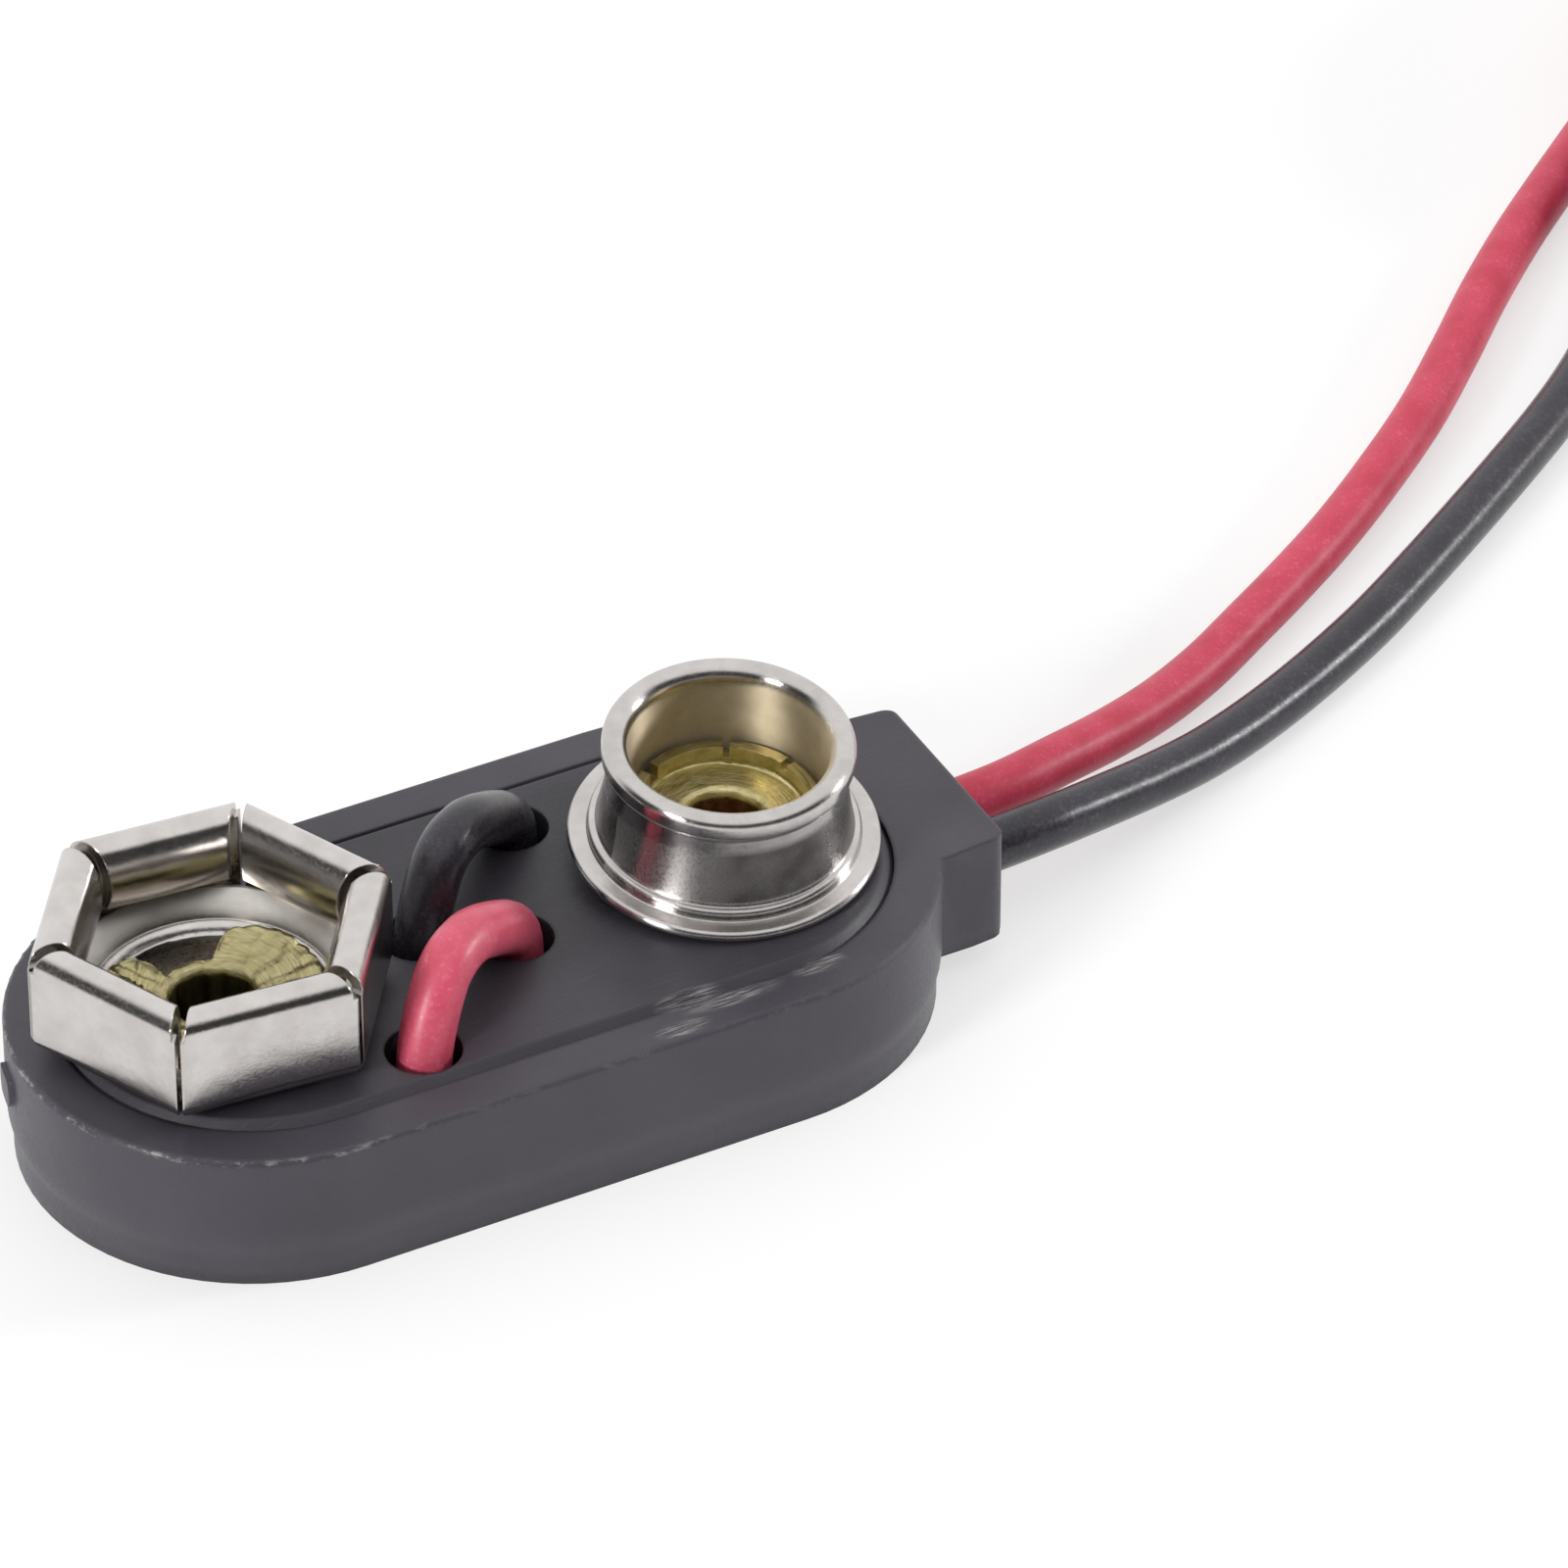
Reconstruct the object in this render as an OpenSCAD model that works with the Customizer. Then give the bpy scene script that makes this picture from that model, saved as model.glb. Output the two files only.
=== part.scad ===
// Snap connector for a 9 V block battery: a moulded housing, a terminal plate that carries
// a six-petal socket and an open stud, and two leads that hoop over the plate.
// X runs along the body to the lead block, Z is up, and the underside lies at z = 0.

/* [Housing] */
// Overall length, from the round end to the face of the lead block
body_l = 23.3; // [22.8:0.1:25]
// Width across the straight sides
body_w = 11.2; // [11:0.1:14]
// Height from the underside to the rim
body_h = 3.5; // [3.5:0.05:5]
// Thickness of the floor
floor_t = 0.7; // [0.5:0.05:0.7]
// Width of the rim round the terminal plate
rim_w = 1.1; // [0.8:0.05:1.1]
// Width of the ledge that carries the plate's edge
ledge_w = 0.4; // [0.2:0.05:0.4]
// Radius along the bottom edge
edge_r = 1.3; // [0.3:0.05:1.4]
// Radius along the outer edge of the rim
rim_r = 0.12; // [0.05:0.01:0.25]
// How far the lead block stands out from the round end
block_out = 1.15; // [0.8:0.05:2]
// Width of the lead block at its face
block_w = 5.4; // [4.6:0.1:6.5]
// Draft of each side of the lead block, in degrees
block_draft = 5; // [0:0.5:8]
// Radius of the lead block's upright corners
block_r = 0.4; // [0.1:0.05:0.8]
// Height of the lead block's underside above the body's
block_rise = 0.65; // [0.3:0.05:0.7]
// How far the lead block stands off the body's middle line
block_shift = 0.35; // [0:0.05:0.5]
// Width of the torn stub that the moulding gate left at the round end
gate_w = 1; // [0.7:0.05:1.5]
// How far the stub stands out
gate_d = 0.12; // [0.06:0.01:0.2]
// Height of the stub
gate_h = 0.75; // [0.5:0.05:1.2]

/* [Terminal plate] */
// Thickness of the plate
plate_t = 1; // [0.8:0.05:1]
// How far the plate's face stands above the rim
plate_proud = 0.13; // [0.13:0.01:0.3]
// Bevel along the plate's upper edge
plate_bevel = 0.25; // [0.1:0.01:0.4]
// Clearance between the plate and the rim
plate_gap = 0.02; // [0.01:0.01:0.06]
// Distance between the two terminals
pitch = 12.7; // [12.5:0.05:12.9]
// Distance from the round end to the socket's axis
socket_inset = 4.6; // [4.4:0.05:5]
// Diameter of the holes that the leads pass through
lead_hole_d = 1.75; // [1.65:0.05:1.9]

/* [Socket] */
// Sheet thickness of both contacts
sheet_t = 0.26; // [0.24:0.01:0.3]
// Width of the socket across its outer flats
hex_af = 7.4; // [7.2:0.05:7.6]
// Height of the socket above the plate
hex_h = 2.9; // [2.6:0.05:3.2]
// Turn of the socket about its axis, in degrees
hex_turn = -5.2; // [-15:0.1:15]
// Width of the slits between the petals
slit_w = 0.12; // [0.08:0.01:0.3]
// Extra width of the slits between the tongues
tongue_trim = 0.18; // [0.05:0.01:0.3]
// Outer radius of the roll over the top of a petal
roll_r = 0.45; // [0.38:0.01:0.5]
// Radius of a tongue's bow
bow_r = 1.5; // [1.2:0.05:2]
// Slope at which a tongue leaves the roll, in degrees from upright
tongue_lean = 30; // [20:1:40]
// How far the bow turns, in degrees
bow_turn = 55; // [45:1:65]
// Height of the socket's rim floor above the plate
dish_h = 0.24; // [0.2:0.01:0.35]
// Diameter of the dish's flat foot
dish_d = 4.84; // [4.7:0.02:4.9]

/* [Stud] */
// Diameter of the stud's lip
lip_d = 5.72; // [5.6:0.01:5.8]
// Diameter of the opening in the lip
mouth_d = 4.58; // [4.4:0.02:4.7]
// Diameter of the waist under the lip
waist_d = 5.4; // [5.3:0.01:5.5]
// Height of the stud
stud_h = 2.95; // [2.8:0.05:3.2]
// Height of the lip
lip_h = 0.57; // [0.5:0.01:0.65]
// Diameter of the wall where it meets the step
foot_d = 5.86; // [5.7:0.02:6]
// Diameter of the step on the flange
step_d = 6.2; // [6.1:0.02:6.4]
// Height of the step
step_h = 0.26; // [0.2:0.01:0.4]
// Diameter of the flange
flange_d = 7.1; // [6.8:0.02:7.2]
// Lean of the stud towards the near side, in degrees
stud_lean = 5.5; // [0:0.5:6]

/* [Eyelets] */
// Outside diameter of an eyelet's barrel
eyelet_d = 2.4; // [2:0.05:2.6]
// Wall thickness of an eyelet
eyelet_t = 0.25; // [0.15:0.01:0.25]
// Diameter of the rolled head under the plate
head_d = 3; // [2.8:0.05:3]
// Clearance of the barrel in the contacts
eyelet_gap = 0.02; // [0.01:0.01:0.05]
// Clearance of the barrel in the plate
rivet_gap = 0.14; // [0.12:0.01:0.2]
// Diameter of the stud eyelet's flare, inside its turned-up edge
cup_d = 3.9; // [3.6:0.05:4]
// Height of the turned-up edge
cup_h = 0.36; // [0.2:0.02:0.5]

/* [Leads] */
// Diameter of the insulated leads
lead_d = 1.25; // [1.1:0.05:1.25]
// Diameter of the stripped strands
core_d = 0.6; // [0.4:0.05:0.6]
// Distance between the two lead exits
exit_gap = 1.7; // [1.6:0.05:2]
// Height of the lead exits above the underside
exit_h = 1.7; // [1.6:0.05:1.75]
// Clearance of the leads in their exits
exit_clear = 0.02; // [0.01:0.01:0.05]
// Reach of a hoop along the body
hoop_dx = 3.6; // [3.4:0.05:3.8]
// Reach of a hoop across the body
hoop_dy = 2.65; // [2.5:0.05:2.65]
// Height of a hoop's crown above the plate, at the middle of the lead
hoop_h = 1.6; // [1.2:0.05:2]
// Radius of the solder joints
solder_r = 0.92; // [0.8:0.02:0.92]
// Height of the solder joints
solder_h = 0.9; // [0.7:0.05:0.9]

/* [Coil] */
// Length of each lead beyond its exit
lead_l = 150; // [145:1:155]
// Height of the tie's strip
tie_w = 1.6; // [1:0.1:2.5]
// Thickness of the tie's strip
tie_t = 0.3; // [0.2:0.05:0.5]
// Clearance between the tie and the coil
tie_gap = 0.05; // [0.02:0.01:0.1]
// Length of the stripped and tinned ends
tip_l = 5; // [3:0.5:8]

/* [Hidden] */
$fn = 96;
eps = 0.01;

black_plastic = "#3d3c42";
plate_plastic = "#434248";
nickel = "#d2cdc9";
brass = "#b3a552";
solder = "#a9abad";
copper = "#b87a4b";
red_pvc = "#c93a55";
black_pvc = "#2f2e33";

// Middles of the two round ends, and the places of the terminals
end_r = body_w / 2;
x_round = -body_l / 2 + end_r;
x_block = body_l / 2 - block_out - end_r;
socket_x = -body_l / 2 + socket_inset;
stud_x = socket_x + pitch;
mid_x = socket_x + pitch / 2;
plate_top = body_h + plate_proud;
plate_z = plate_top - plate_t;
pocket_r = end_r - rim_w;
cavity_r = pocket_r - ledge_w;

// Lead holes: each hoop runs from its right hole, by the stud's end, to its left hole
red_hole_at = [0.75, -0.7];
black_hole_at = [-1.15, 0.3];
red_right = [mid_x, 0] + red_hole_at;
red_left = red_right - [hoop_dx, hoop_dy];
black_left = [mid_x, 0] + black_hole_at;
black_right = black_left + [hoop_dx, hoop_dy];
lead_holes = [red_right, red_left, black_left, black_right];

// Places of the lead exits across the block
red_exit = block_shift + exit_gap / 2;
black_exit = block_shift - exit_gap / 2;

// Heights of the leads' runs inside the housing: on its floor, and just under the plate
run_gap = 0.05;
tail_gap = 0.03;
run_z = floor_t + lead_d / 2 + run_gap;
tail_z = plate_z - lead_d / 2 - tail_gap;
tail_l = 1.3;

// Bends of the socket's sheet: the dish's step, and the foot of each petal
dish_turn = 60;
dish_bend = dish_h / (2 * (1 - cos(dish_turn)));
shelf_r = dish_d / 2 + 2 * dish_bend * sin(dish_turn);
shelf_w = 0.3;
foot_bend = 0.12;
seam = 1;

// Inner radius of the bend of the stud eyelet's turned-up edge
cup_bend = 0.08;

// Place of the gate's stub: its distance under the rim, and its turn round the end
gate_drop = 0.75;
gate_turn = 167;

// Lower edges of the lead block, and the room left in the housing round the eyelets' heads
block_edge = 0.35;
head_room = 0.3;

// Rise of the torn flaps from the barrel to the edge of the dish
flap_rise = 0.42;

// The stud leans about the near edge of its flange, which stays on the plate
lean_lift = flange_d / 2 * sin(stud_lean);
head_lift = head_d / 2 * sin(stud_lean);

// Solder joints sit beside the eyelets' heads, on the side where the leads come down
joint_gap = 0.35;
joint_reach = head_d / 2 + joint_gap;
red_way = unit(red_left - [socket_x, 0]);
black_way = unit(black_right - [stud_x, 0]);
red_joint = [socket_x, 0] + joint_reach * red_way;
black_joint = [stud_x, 0] + joint_reach * black_way;
red_core_l = norm(red_left - red_joint) - tail_l;
black_core_l = norm(black_right - black_joint) - tail_l;

// Both leads are wound as a pair: two lanes beside each other, two full layers, part of a third
coil_at = [50, 17.5, 0];
coil_layers = 3;
inner_lane = 5 * lead_d;
outer_lane = inner_lane + lead_d;
coil_in = inner_lane - lead_d / 2;
coil_mid = inner_lane + lead_d / 2;
coil_out = outer_lane + lead_d / 2;
entry_turn = 38;
entry_l = 7.2;
tie_angle = -60;
tie_in = sqrt(coil_in * coil_in - tie_w * tie_w / 4) - tie_gap;
tip_d = 0.7;

// Free leads: each route lists x, y and the height above rest, from the exit to the coil
lead_in = 0.8;
red_lay = [
    [13.7, 1.4, 1], [15.3, 1.9, 0.82], [17.2, 2.65, 0.48], [19, 3.5, 0.18], [20.7, 4.4, 0.03],
    [22.4, 5.4, 0], [24.1, 6.4, 0], [26, 7.6, 0], [28.1, 9.1, 0], [30.4, 10.9, 0], [32.5, 12.8, 0],
    [34.4, 14.6, 0], [36.4, 16.35, 0], [38.4, 17.95, 0], [40.4, 19.5, 0], [42.3, 20.98, 0]];
black_lay = [
    [13.9, -0.25, 0.95], [15.8, 0.3, 0.62], [17.3, 0.75, 0.38], [18.8, 1.25, 0.18], [20.3, 1.85, 0.05],
    [21.8, 2.5, 0], [23.4, 3.25, 0], [25.2, 4.2, 0], [27.1, 5.35, 0], [29, 6.55, 0], [31, 7.85, 0],
    [33, 9.2, 0], [34.6, 10.4, 0], [36.2, 11.8, 0], [37.8, 13.4, 0], [39.4, 15.2, 0], [41, 17.1, 0],
    [42.9, 19.3, 0]];
coil_run = 1.5;
red_route = curve(route(red_exit, red_lay, outer_lane), 2);
black_route = curve(route(black_exit, black_lay, inner_lane), 2);

// Turn of each lead's last, part layer, from what is left of its length
red_top_turn = last_turn(red_route, outer_lane);
black_top_turn = last_turn(black_route, inner_lane);
function path_l(p, i = 1) = i < len(p) ? norm(p[i] - p[i - 1]) + path_l(p, i + 1) : 0;
function last_turn(p, lane) =
    (lead_l - tip_l - path_l(p)) / lane * 180 / PI - 360 * (coil_layers - 1);

// A whole route: straight out of the exit at y, over the points, and straight into a lane
function route(y, lay, lane) = let (h = entry_turn)
    let (end = [coil_at.x - lane * sin(h), coil_at.y + lane * cos(h), lead_d / 2])
    concat([for (k = [0 : 2]) [body_l / 2 + k / 2 * lead_in, y, exit_h]],
           [for (p = lay) [p.x, p.y, p.z + lead_d / 2]],
           [for (k = [2, 1, 0]) end - k / 2 * coil_run * [cos(h), sin(h), 0]]);

function unit(v) = v / norm(v);
function lift(p, z) = [p.x, p.y, z];

// A smooth curve through points, with n steps from each point to the next
function blend(a, b, c, d, u) =
    (2 * b + (c - a) * u + (2 * a - 5 * b + 4 * c - d) * u * u
     + (3 * b - a - 3 * c + d) * u * u * u) / 2;
function curve(p, n) = let (e = len(p) - 1)
    [for (i = [0 : e - 1]) for (k = [0 : n - 1])
        blend(p[max(i - 1, 0)], p[i], p[i + 1], p[min(i + 2, e)], k / n), p[e]];

// Directions along a path, and a side direction carried along it without twist
function headings(p) = let (e = len(p) - 1)
    [for (i = [0 : e]) unit(p[min(i + 1, e)] - p[max(i - 1, 0)])];
function square_to(side, way) = unit(side - way * (side * way));
function sides_along(h) =
    [for (i = 0, s = square_to([0, 0.2, 1], h[0]); i < len(h);
          i = i + 1, s = i < len(h) ? square_to(s, h[i]) : s) s];

// A round tube swept along a path
module tube(path, d, sides) {
    h = headings(path);
    s = sides_along(h);
    e = len(path) - 1;
    points = [for (i = [0 : e]) for (k = [0 : sides - 1])
        path[i] + d / 2 * (cos(360 * k / sides) * s[i] + sin(360 * k / sides) * cross(h[i], s[i]))];
    walls = [for (i = [0 : e - 1]) for (k = [0 : sides - 1]) let (n = (k + 1) % sides)
        each [[i * sides + k, (i + 1) * sides + k, i * sides + n],
              [i * sides + n, (i + 1) * sides + k, (i + 1) * sides + n]]];
    first = [for (k = [0 : sides - 1]) k];
    last = [for (k = [sides - 1 : -1 : 0]) e * sides + k];
    polyhedron(points, concat([first, last], walls));
}

// The plan of the body, at a distance r from the line between its end middles
module stadium(r) {
    translate([x_round, 0])
        circle(r);
    translate([x_block, 0])
        circle(r);
    translate([x_round, -r])
        square([x_block - x_round, 2 * r]);
}

// Carries a half section round the whole of the body's plan
module round_the_plan() {
    translate([x_round, 0, 0])
        rotate(90)
            rotate_extrude(angle = 180)
                children();
    translate([x_block, 0, 0])
        rotate(-90)
            rotate_extrude(angle = 180)
                children();
    translate([x_round, 0, 0])
        rotate([90, 0, 90])
            linear_extrude(x_block - x_round) {
                children();
                mirror([1, 0])
                    children();
            }
}

// A rectangle from the axis out to r, with its outer corners rounded
module half_section(r, h, low_r, high_r) {
    square([r - low_r, h - high_r]);
    translate([0, low_r])
        square([r, h - low_r - high_r]);
    square([r - high_r, h]);
    translate([r - low_r, low_r])
        circle(low_r);
    translate([r - high_r, h - high_r])
        circle(high_r);
}

// Part of a ring in a section, from angle a0 to a1, with a span under 180 degrees
module ring_arc(r_out, r_in, a0, a1) {
    reach = 4 * r_out;
    intersection() {
        difference() {
            circle(r_out);
            circle(r_in);
        }
        polygon([[0, 0], reach * [cos(a0), sin(a0)],
                 reach * [cos((a0 + a1) / 2), sin((a0 + a1) / 2)], reach * [cos(a1), sin(a1)]]);
    }
}

// Plan of the lead block: drafted sides and rounded corners
module block_plan() {
    x_face = body_l / 2;
    x_root = x_block + end_r / 2;
    slope = tan(block_draft);
    half = block_w / 2;
    cx = x_face - block_r;
    cy = half + slope * block_r - block_r / cos(block_draft);
    root = half + slope * (x_face - x_root);
    side = [cx, cy] + block_r * [sin(block_draft), cos(block_draft)];
    polygon([[x_root, root], side, [x_face, cy], [x_face, -cy], [side.x, -side.y], [x_root, -root]]);
    for (y = [cy, -cy])
        translate([cx, y])
            circle(block_r);
}

// Lead block, with rounded edges, raised a little from the body's underside
module block() {
    half_root = block_w / 2 + 2 * block_out * tan(block_draft);
    h = body_h - block_rise;
    translate([0, block_shift, block_rise])
        intersection() {
            linear_extrude(h)
                block_plan();
            rotate([90, 0, 0])
                linear_extrude(2 * block_w, center = true)
                    half_section(body_l / 2, h, block_edge, rim_r);
            rotate([90, 0, 90])
                linear_extrude(body_l) {
                    half_section(half_root, h, block_edge, rim_r);
                    mirror([1, 0])
                        half_section(half_root, h, block_edge, rim_r);
                }
        }
}

// Stub where the gate was torn off, on the wall of the round end
module gate_stub() {
    translate([x_round, 0, body_h - gate_drop - gate_h])
        intersection() {
            cylinder(r = end_r + gate_d, h = gate_h);
            translate([0, 0, gate_h / 2])
                rotate([0, 90, gate_turn])
                    cylinder(d = gate_w, h = 2 * end_r);
        }
}

module housing() {
    color(black_plastic)
        difference() {
            union() {
                round_the_plan()
                    half_section(end_r, body_h, edge_r, rim_r);
                block();
                gate_stub();
            }
            translate([0, 0, floor_t])
                linear_extrude(body_h)
                    stadium(cavity_r);
            translate([0, 0, plate_z])
                linear_extrude(body_h)
                    stadium(pocket_r);
            for (x = [socket_x, stud_x])
                translate([x, 0, floor_t])
                    cylinder(d = head_d + 2 * head_room, h = body_h);
            for (y = [red_exit, black_exit])
                translate([x_block, y, exit_h])
                    rotate([0, 90, 0])
                        cylinder(d = lead_d + 2 * exit_clear, h = body_l);
        }
}

module terminal_plate() {
    r = pocket_r - plate_gap;
    color(plate_plastic)
        difference() {
            translate([0, 0, plate_z])
                round_the_plan()
                    polygon([[0, 0], [r, 0], [r, plate_t - plate_bevel],
                             [r - plate_bevel, plate_t], [0, plate_t]]);
            for (p = lead_holes)
                translate(lift(p, plate_z - eps))
                    cylinder(d = lead_hole_d, h = plate_t + 2 * eps);
            for (x = [socket_x, stud_x])
                translate([x, 0, plate_z - eps])
                    cylinder(d = eyelet_d + 2 * rivet_gap, h = plate_t + 2 * eps);
        }
}

// Section of the socket's floor: a dish that stands on the plate, stepped up to the petals
module dish_section() {
    barrel_r = eyelet_d / 2 + eyelet_gap;
    foot_r = dish_d / 2;
    big_r = dish_bend + sheet_t / 2;
    small_r = dish_bend - sheet_t / 2;
    translate([barrel_r, 0])
        square([foot_r - barrel_r, sheet_t]);
    translate([foot_r, big_r])
        ring_arc(big_r, small_r, -90, dish_turn - 90 + seam);
    translate([shelf_r, dish_h - small_r])
        ring_arc(big_r, small_r, 90, 90 + dish_turn);
    translate([shelf_r - eps, dish_h])
        square([shelf_w, sheet_t]);
}

// A rectangle from the axis out to r, with its lower corner rounded
module elbow(r, h, bend) {
    square([r - bend, h]);
    translate([0, bend])
        square([r, h - bend]);
    translate([r - bend, bend])
        circle(bend);
}

// Section of one petal: floor, bend and wall, then the roll over the top and the bowed tongue
module petal_wall() {
    flat = hex_af / 2;
    h = hex_h - dish_h - roll_r;
    translate([0, dish_h])
        difference() {
            elbow(flat, h, sheet_t + foot_bend);
            translate([0, sheet_t])
                elbow(flat - sheet_t, h, foot_bend);
            translate([-eps, -eps])
                square([shelf_r + eps, h]);
        }
}

module petal_tongue() {
    flat = hex_af / 2;
    roll_end = 180 - tongue_lean;
    roll_at = [flat - roll_r, hex_h - roll_r];
    translate(roll_at) {
        ring_arc(roll_r, roll_r - sheet_t, 0, roll_end);
        translate((bow_r - roll_r) * -[cos(roll_end), sin(roll_end)])
            ring_arc(bow_r, bow_r - sheet_t, roll_end, roll_end + bow_turn);
    }
}

// Sector of the plan that one petal keeps, with a slit along each corner
module petal_sector(slit) {
    far = hex_af;
    rise = (far - slit) * tan(30);
    translate([0, 0, -hex_h])
        linear_extrude(3 * hex_h)
            polygon([[slit, 0], [far, rise], [far, -rise]]);
}

module petal() {
    intersection() {
        rotate([90, 0, 0])
            linear_extrude(hex_af, center = true)
                petal_wall();
        petal_sector(slit_w);
    }
    intersection() {
        rotate([90, 0, 0])
            linear_extrude(hex_af, center = true)
                petal_tongue();
        petal_sector(slit_w + tongue_trim);
    }
}

module socket_contact() {
    color(nickel)
        translate([socket_x, 0, plate_top])
            rotate(hex_turn) {
                rotate_extrude()
                    dish_section();
                for (i = [0 : 5])
                    rotate(30 + 60 * i)
                        petal();
            }
}

// Seats its children on the stud's leaning axis, with z = 0 under the flange
module on_stud_axis() {
    translate([stud_x, 0, plate_top + lean_lift])
        rotate([stud_lean, 0, 0])
            children();
}

// Section of the stud's lip: a rolled edge with a flat top and a short upright band
module lip_section() {
    top_r = 0.18;
    low_r = 0.16;
    brow_r = 0.08;
    in_r = mouth_d / 2;
    out_r = lip_d / 2;
    translate([0, stud_h - lip_h]) {
        translate([in_r, 0])
            square([out_r - low_r - in_r, lip_h - top_r]);
        translate([in_r + brow_r, 0])
            square([out_r - top_r - in_r - brow_r, lip_h]);
        translate([in_r, low_r])
            square([out_r - in_r, lip_h - top_r - low_r]);
        translate([out_r - top_r, lip_h - top_r])
            circle(top_r);
        translate([out_r - low_r, low_r])
            circle(low_r);
        translate([in_r + brow_r, lip_h - brow_r])
            circle(brow_r);
        translate([in_r, lip_h - top_r - eps])
            square([brow_r + eps, top_r - brow_r + eps]);
    }
}

module stud_section() {
    barrel_r = eyelet_d / 2 + eyelet_gap;
    edge = sheet_t / 2;
    step_edge = step_h / 2;
    foot_z = sheet_t + step_h;
    neck_z = stud_h - lip_h / 2;
    translate([barrel_r, 0])
        square([flange_d / 2 - edge - barrel_r, sheet_t]);
    translate([flange_d / 2 - edge, edge])
        circle(edge);
    translate([foot_d / 2 - sheet_t, sheet_t - eps])
        square([step_d / 2 - step_edge - foot_d / 2 + sheet_t, step_h + eps]);
    translate([step_d / 2 - step_edge, sheet_t + step_edge])
        circle(step_edge);
    polygon([[foot_d / 2, foot_z - eps], [waist_d / 2, neck_z],
             [waist_d / 2 - sheet_t, neck_z], [foot_d / 2 - sheet_t, foot_z - eps]]);
    lip_section();
}

module stud_contact() {
    color(nickel)
        on_stud_axis()
            rotate_extrude()
                stud_section();
}

// Section of an eyelet's barrel and rolled lower head; z = 0 lies on the contact's floor
module barrel_section(depth) {
    r = eyelet_d / 2;
    head_t = eyelet_t;
    translate([r - eyelet_t, -depth])
        square([eyelet_t, depth]);
    translate([r, 0])
        ring_arc(eyelet_t, 0, 90, 180);
    translate([r, -depth])
        ring_arc(head_t, 0, 180, 270);
    translate([r, -depth - head_t])
        square([head_d / 2 - r - head_t / 2, head_t]);
    translate([head_d / 2 - head_t / 2, -depth - head_t / 2])
        circle(head_t / 2);
}

// Flare of the stud's eyelet: a disc on the floor with a turned-up edge
module cup_section() {
    r = eyelet_d / 2;
    bend_r = eyelet_t + cup_bend;
    rim_at = cup_d / 2 - bend_r + eyelet_t;
    translate([r, 0])
        square([rim_at - r, eyelet_t]);
    translate([rim_at, bend_r])
        ring_arc(bend_r, bend_r - eyelet_t, -90, 0);
    translate([rim_at + bend_r - eyelet_t, bend_r])
        square([eyelet_t, cup_h]);
}

// Tears in the turned-up edge: angle, width in degrees, and depth as a share of its height
cup_tears = [[20, 5, 0.5], [62, 4, 0.8], [118, 9, 1], [152, 5, 0.7], [188, 12, 1], [222, 5, 0.6],
             [262, 6, 0.9], [305, 9, 0.7], [338, 4, 0.5]];

module stud_eyelet() {
    color(brass)
        on_stud_axis()
            translate([0, 0, sheet_t])
                difference() {
                    rotate_extrude() {
                        barrel_section(sheet_t + plate_t + lean_lift + head_lift);
                        cup_section();
                    }
                    for (tear = cup_tears)
                        rotate(tear[0])
                            translate([0, 0, eyelet_t + cup_bend + cup_h * (1 - tear[2])])
                                linear_extrude(2 * cup_h)
                                    polygon([[0, 0], cup_d * [cos(tear[1] / 2), sin(tear[1] / 2)],
                                             cup_d * [cos(tear[1] / 2), -sin(tear[1] / 2)]]);
                }
}

// Outlines of the two flaps that the socket's eyelet tore into: the angle of each corner,
// and its radius as a share of the barrel's diameter
big_flap = [[-38, 0.62], [-30, 0.87], [-8, 0.94], [8, 1], [24, 0.96], [40, 1.01], [58, 0.98], [72, 0.92],
            [80, 0.95], [86, 0.79], [92, 0.58]];
small_flap = [[150, 0.58], [158, 0.79], [170, 0.85], [182, 0.77], [196, 0.87], [210, 0.92], [226, 0.85],
              [240, 0.81], [252, 0.62]];

// A torn flap: part of a shallow funnel that rises from the barrel
module flap(outline) {
    r = eyelet_d / 2;
    reach = 1.1 * eyelet_d;
    intersection() {
        rotate_extrude()
            polygon([[r, 0], [reach, flap_rise], [reach, flap_rise + eyelet_t], [r, eyelet_t]]);
        linear_extrude(flap_rise + 2 * eyelet_t)
            polygon(concat([[0, 0]], [for (c = outline) eyelet_d * c[1] * [cos(c[0]), sin(c[0])]]));
    }
}

module socket_eyelet() {
    color(brass)
        translate([socket_x, 0, plate_top + sheet_t])
            union() {
                rotate_extrude()
                    barrel_section(sheet_t + plate_t);
                rotate(hex_turn) {
                    flap(big_flap);
                    flap(small_flap);
                }
            }
}

// Stripped strands, straight from the lead's end into the solder joint
module core(at, way, l) {
    translate(lift(at, tail_z))
        rotate([0, 90, atan2(way.y, way.x)])
            cylinder(d = core_d, h = l);
}

module red_core() {
    color(copper)
        core(red_joint, red_way, red_core_l);
}

module black_core() {
    color(copper)
        core(black_joint, black_way, black_core_l);
}

// Solder joint: a mound under the plate, hollowed by the strands and by the eyelet's head
module solder_mound(at) {
    color(solder)
        difference() {
            translate(lift(at, plate_z - solder_h))
                cylinder(r1 = solder_r / 2, r2 = solder_r, h = solder_h);
            children();
        }
}

module socket_solder() {
    solder_mound(red_joint) {
        core(red_joint, red_way, red_core_l);
        translate([socket_x, 0, 0])
            cylinder(d = head_d + 2 * eyelet_gap, h = plate_top);
    }
}

module stud_solder() {
    solder_mound(black_joint) {
        core(black_joint, black_way, black_core_l);
        on_stud_axis()
            translate([0, 0, -body_h])
                cylinder(d = head_d + 2 * eyelet_gap, h = body_h);
    }
}

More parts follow.
